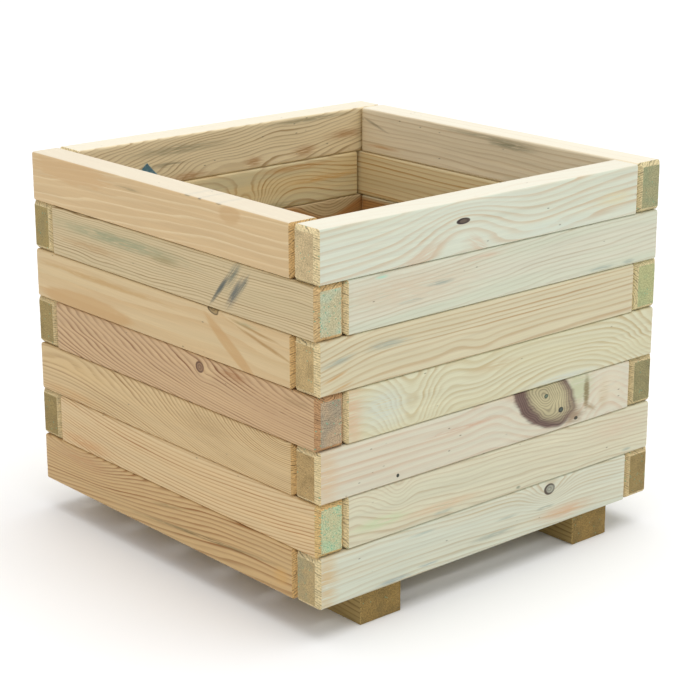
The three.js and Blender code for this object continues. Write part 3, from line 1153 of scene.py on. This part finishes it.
def chance_look(node, side):
    """A plausible look for a board without one of its own, always the same for a node."""
    chance = random.Random(node)
    early, late = SIDE_COLOURS[side]
    shade = chance.uniform(0.94, 1.03)
    end = END_LOOKS.get(node, (168, 150, 106))
    bends = [
        Bend(chance.uniform(-220, 220), chance.uniform(-20, 20), (chance.uniform(40, 110), 40), lift)
        for lift in (chance.uniform(-24, 0), chance.uniform(0, 24))
    ]
    return Look(
        early=[channel * shade for channel in early],
        late=[channel * shade for channel in late],
        contrast=chance.uniform(0.5, 0.95),
        spacing=chance.uniform(2.8, 6.5),
        pith_left=(chance.uniform(-120, 60), chance.uniform(-80, -20)),
        pith_right=(chance.uniform(-120, 60), chance.uniform(-100, -10)),
        wander=chance.uniform(6, 20),
        bends=bends,
        knots=[chance_knot(chance) for _ in range(chance.choice((0, 0, 0, 1, 1, 2)))],
        stains=[chance_stain(chance) for _ in range(4)],
        tinge=[channel * shade for channel in early],
        torn=WARM_TORN if side == "left" else (210, 190, 146),
        end=end,
        end_tinge=[channel * 0.94 for channel in end],
        end_lines=chance.uniform(0.05, 0.25),
        copper=chance.uniform(0.0, 0.2),
    )


def add_boards():
    for course in range(1, 8):
        for number, (side, (along, out)) in enumerate(SIDES.items()):
            node = f"{side}_board_{course}"
            seed = course * 4 + number
            look = LOOKS.get(node) or chance_look(node, side)
            material = pine("pine_" + node, look, seed)
            screws = [f"corner_screw_{CORNERS[number]}_lower"] if course == 7 else []
            axes = (along, UP, out)
            add_timber(node, axes, BOARD_RADIUS, END_CHAMFER, material, seed, screws)


def add_runners_and_slats():
    along, out = SIDES["left"]
    look = Look(
        early=(160, 136, 84), late=(106, 80, 40), contrast=0.9, spacing=3.6, tinge=(150, 130, 80),
        torn=(164, 138, 86), end=(146, 120, 68), end_tinge=(132, 110, 64), end_lines=0.3,
    )
    for number, side in enumerate(("left", "right")):
        material = pine(f"pine_{side}_runner", look, 40 + number)
        radius = LEFT_RUNNER_RADIUS if side == "left" else BOARD_RADIUS
        screws = [f"runner_screw_{side}_{end}" for end in ("front", "back")]
        axes = (along, UP, out)
        node = f"{side}_runner"
        add_timber(node, axes, radius, RUNNER_CHAMFER, material, 40 + number, screws)
    look = Look(early=(186, 166, 120), late=(140, 110, 66), contrast=0.7, spacing=4.4)
    for number in range(1, 6):
        material = pine(f"pine_floor_slat_{number}", look, 50 + number)
        axes = (Vector((1, 0, 0)), Vector((0, 1, 0)), UP)
        node = f"floor_slat_{number}"
        add_timber(node, axes, SLAT_RADIUS, SLAT_CHAMFER, material, 50 + number)


def add_small_pieces():
    steel = zinc_steel()
    add_screws(steel)
    add_staple(steel)
    add_tag(blue_plastic())


# ---- studio ----
def add_floor():
    bpy.ops.mesh.primitive_plane_add(size=FLOOR_SIZE, location=(0, 0, 0))
    floor = bpy.context.object
    floor.name = "studio_floor"
    material = new_material("studio_white")
    tree = material.node_tree
    place = object_place(tree)
    faint = cloud(place, (0.5, 0.5, 0.5), 3.0)
    colour = mixed(tree, linear((240, 240, 240)), linear((246, 246, 246)), faint + 0.5)
    finish_material(tree, colour, 0.9 + faint * 0.05, faint * 0.01, 0.1)
    floor.data.materials.append(material)


def add_overhead_light():
    data = bpy.data.lights.new("overhead_light", "SUN")
    data.angle = OVERHEAD_ANGLE
    data.energy = OVERHEAD_STRENGTH
    light = new_object("overhead_light", data)
    light.rotation_euler = OVERHEAD_AIM.to_track_quat("-Z", "Y").to_euler()


def add_sky():
    """Even white light from all round. The sky itself is seen as pure white."""
    world = bpy.data.worlds.new("studio")
    world.use_nodes = True
    tree = world.node_tree
    background = tree.nodes["Background"]
    background.inputs["Color"].default_value = (1, 1, 1, 1)
    path = tree.nodes.new("ShaderNodeLightPath")
    seen = Wire(tree, path.outputs["Is Camera Ray"])
    plug(tree, background.inputs["Strength"], seen * (1.0 - SKY_LIGHT) + SKY_LIGHT)
    bpy.context.scene.world = world


def add_studio():
    add_floor()
    add_overhead_light()
    add_sky()
    bpy.context.scene.view_settings.view_transform = "Standard"


def add_camera():
    data = bpy.data.cameras.new("camera")
    data.lens = CAMERA_LENS
    data.sensor_width = SENSOR
    camera = new_object("camera", data)
    camera.location = CAMERA_PLACE
    level = math.cos(CAMERA_DIP)
    forward = Vector((level * math.cos(CAMERA_TURN), level * math.sin(CAMERA_TURN), -math.sin(CAMERA_DIP)))
    camera.rotation_euler = forward.to_track_quat("-Z", "Y").to_euler()
    bpy.context.scene.camera = camera


add_camera()
add_boards()
add_runners_and_slats()
add_small_pieces()
add_studio()
